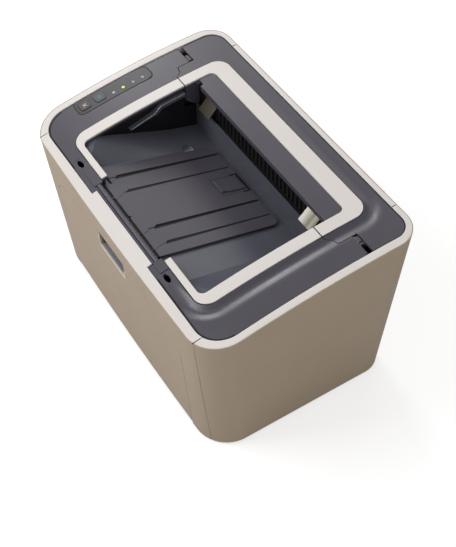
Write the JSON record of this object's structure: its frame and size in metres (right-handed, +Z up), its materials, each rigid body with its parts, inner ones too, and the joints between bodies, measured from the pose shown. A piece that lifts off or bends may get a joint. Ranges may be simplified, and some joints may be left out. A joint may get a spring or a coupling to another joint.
{
  "type": "laser printer",
  "caption": "Compact desktop laser printer with a crowned dark top, pale rim and bin ring, fold-out paper flap, lift-up top door, drop-down tray door and a working drive train.",
  "frame": {"origin": "on the surface the feet stand on, below the middle of the case", "axes": "+X to the right seen from the front, +Y to the back, +Z up"},
  "size_m": [0.3798, 0.246, 0.2225],
  "materials": {
    "taupe_shell": "fine textured",
    "cream_trim": "fine textured",
    "dark_top": "fine textured",
    "bin_grey": "fine textured",
    "panel_dark": "satin",
    "cancel_cap": "satin",
    "go_cap": "satin",
    "led_lens": "clear lens",
    "pocket_grey": "satin",
    "black_plastic": "moulded",
    "ivory_plate": "satin",
    "foot_rubber": "soft",
    "sheet_steel": "galvanised",
    "turned_steel": "turned",
    "cork_pad": "soft",
    "roller_foam": "foam",
    "drum_coat": "coated",
    "fuser_rubber": "silicone",
    "gear_nylon": "moulded",
    "mirror_metal": "polished",
    "board_green": "lacquered"
  },
  "bodies": {
    "case": {"base_pan": "black_plastic", "feet": "foot_rubber", "frame_left": "sheet_steel", "frame_right": "sheet_steel", "front_cover": "taupe_shell", "side_cover_left": "taupe_shell", "side_cover_right": "taupe_shell", "rear_cover": "taupe_shell", "rim_left": "cream_trim", "rim_right": "cream_trim", "rim_front": "cream_trim", "rim_rear": "cream_trim", "top_rear_cover": "dark_top", "rear_ring": "cream_trim", "delivery_ledge": "dark_top", "exit_comb": "black_plastic", "exit_plates": "ivory_plate", "paper_chute": "black_plastic", "scanner_housing": "black_plastic", "toner_cartridge": "black_plastic", "fuser_housing": "black_plastic", "separation_pad": "cork_pad", "drive_motor": "sheet_steel", "motor_plate": "sheet_steel", "steel_pins": "turned_steel", "controller_board": "board_green", "power_board": "board_green", "power_inlet": "black_plastic", "usb_port": "sheet_steel", "cover_screws": "turned_steel", "drive_belt": "foot_rubber"},
    "top_door": {"door_top_cover": "dark_top", "door_ring": "cream_trim", "output_bin": "bin_grey", "control_panel": "panel_dark", "status_lights": "led_lens"},
    "cancel": {"cancel_button": "cancel_cap"},
    "go": {"go_button": "go_cap"},
    "flap": {"stack_flap": "dark_top"},
    "stop": {"paper_stop": "dark_top"},
    "front_door": {"tray_door": "taupe_shell", "pocket_insert": "pocket_grey"},
    "guide_l": {"guide_left": "black_plastic"},
    "guide_r": {"guide_right": "black_plastic"},
    "lift": {"lift_plate": "sheet_steel"},
    "rocker": {"power_switch": "black_plastic"},
    "drum": {"photo_drum": "drum_coat", "drum_gear": "gear_nylon"},
    "idler_a": {"idler_gear_a": "gear_nylon"},
    "idler_b": {"idler_gear_b": "gear_nylon"},
    "pinion": {"motor_pinion": "gear_nylon"},
    "press": {"pressure_roller": "fuser_rubber", "fuser_gear": "gear_nylon"},
    "sleeve": {"fuser_sleeve": "fuser_rubber"},
    "transfer": {"transfer_roller": "roller_foam"},
    "delivery": {"delivery_roller": "roller_foam", "delivery_pulley": "gear_nylon"},
    "pinch": {"pinch_rollers": "roller_foam"},
    "pickup": {"pickup_roller": "foot_rubber"},
    "mirror": {"polygon_mirror": "mirror_metal"}
  },
  "joints": [
    {"name": "top_door_hinge", "type": "hinge", "parent": "case", "child": "top_door", "pos_m": [0, 0.066, 0.2138], "axis": [-1, 0, 0], "range_deg": [0, 56]},
    {"name": "flap_hinge", "type": "hinge", "parent": "top_door", "child": "flap", "pos_m": [0, -0.101, 0.19166], "axis": [1, 0, 0], "range_deg": [0, 176]},
    {"name": "paper_stop_hinge", "type": "hinge", "parent": "flap", "child": "stop", "pos_m": [-0.018, 0.0452, 0.15312], "axis": [-1, 0, 0], "range_deg": [0, 84]},
    {"name": "cancel_press", "type": "slide", "parent": "top_door", "child": "cancel", "axis": [0, 0, -1], "range_m": [0, 0.0008], "stiffness_N_per_m": 400},
    {"name": "go_press", "type": "slide", "parent": "top_door", "child": "go", "axis": [0, 0, -1], "range_m": [0, 0.0008], "stiffness_N_per_m": 400},
    {"name": "tray_door_hinge", "type": "hinge", "parent": "case", "child": "front_door", "pos_m": [0, -0.106, 0.0135], "axis": [1, 0, 0], "range_deg": [0, 84]},
    {"name": "guide_right_slide", "type": "slide", "parent": "case", "child": "guide_r", "axis": [-1, 0, 0], "range_m": [0, 0.055]},
    {"name": "guide_left_slide", "type": "slide", "parent": "case", "child": "guide_l", "axis": [1, 0, 0], "range_m": [0, 0.055]},
    {"name": "lift_plate_hinge", "type": "hinge", "parent": "case", "child": "lift", "pos_m": [0, -0.052, 0.021], "axis": [1, 0, 0], "range_deg": [0, 10]},
    {"name": "power_rocker", "type": "hinge", "parent": "case", "child": "rocker", "pos_m": [-0.07, 0.1066, 0.027], "axis": [0, 0, 1], "range_deg": [0, 12]},
    {"name": "drum_spin", "type": "hinge", "parent": "case", "child": "drum", "pos_m": [0, 0.03, 0.068], "axis": [1, 0, 0], "continuous": true},
    {"name": "idler_a_spin", "type": "hinge", "parent": "case", "child": "idler_a", "pos_m": [0, -0.00532, 0.09273], "axis": [1, 0, 0], "continuous": true},
    {"name": "pinion_spin", "type": "hinge", "parent": "case", "child": "pinion", "pos_m": [0, -0.03443, 0.10631], "axis": [1, 0, 0], "continuous": true},
    {"name": "idler_b_spin", "type": "hinge", "parent": "case", "child": "idler_b", "pos_m": [0, 0.06745, 0.07511], "axis": [1, 0, 0], "continuous": true},
    {"name": "fuser_spin", "type": "hinge", "parent": "case", "child": "press", "pos_m": [0, 0.092, 0.05], "axis": [1, 0, 0], "continuous": true},
    {"name": "sleeve_spin", "type": "hinge", "parent": "case", "child": "sleeve", "pos_m": [0, 0.092, 0.0705], "axis": [1, 0, 0], "continuous": true},
    {"name": "transfer_spin", "type": "hinge", "parent": "case", "child": "transfer", "pos_m": [0, 0.032, 0.0481], "axis": [1, 0, 0], "continuous": true},
    {"name": "delivery_spin", "type": "hinge", "parent": "case", "child": "delivery", "pos_m": [0, 0.066, 0.19], "axis": [1, 0, 0], "continuous": true},
    {"name": "pinch_spin", "type": "hinge", "parent": "case", "child": "pinch", "pos_m": [0, 0.066, 0.1795], "axis": [1, 0, 0], "continuous": true},
    {"name": "pickup_spin", "type": "hinge", "parent": "case", "child": "pickup", "pos_m": [0, -0.02, 0.054], "axis": [1, 0, 0], "continuous": true},
    {"name": "mirror_spin", "type": "hinge", "parent": "case", "child": "mirror", "pos_m": [0.028, 0.042, 0.129], "axis": [0, 0, 1], "continuous": true}
  ],
  "couplings": [
    {"joint": "guide_left_slide", "follows": "guide_right_slide", "ratio": 1},
    {"joint": "idler_a_spin", "follows": "drum_spin", "ratio": -0.72},
    {"joint": "pinion_spin", "follows": "drum_spin", "ratio": 2.5714},
    {"joint": "idler_b_spin", "follows": "drum_spin", "ratio": -0.9},
    {"joint": "fuser_spin", "follows": "drum_spin", "ratio": 1.2},
    {"joint": "sleeve_spin", "follows": "drum_spin", "ratio": -1.2},
    {"joint": "transfer_spin", "follows": "drum_spin", "ratio": -1.6},
    {"joint": "delivery_spin", "follows": "drum_spin", "ratio": 1.5429},
    {"joint": "pinch_spin", "follows": "drum_spin", "ratio": -1.5429}
  ]
}
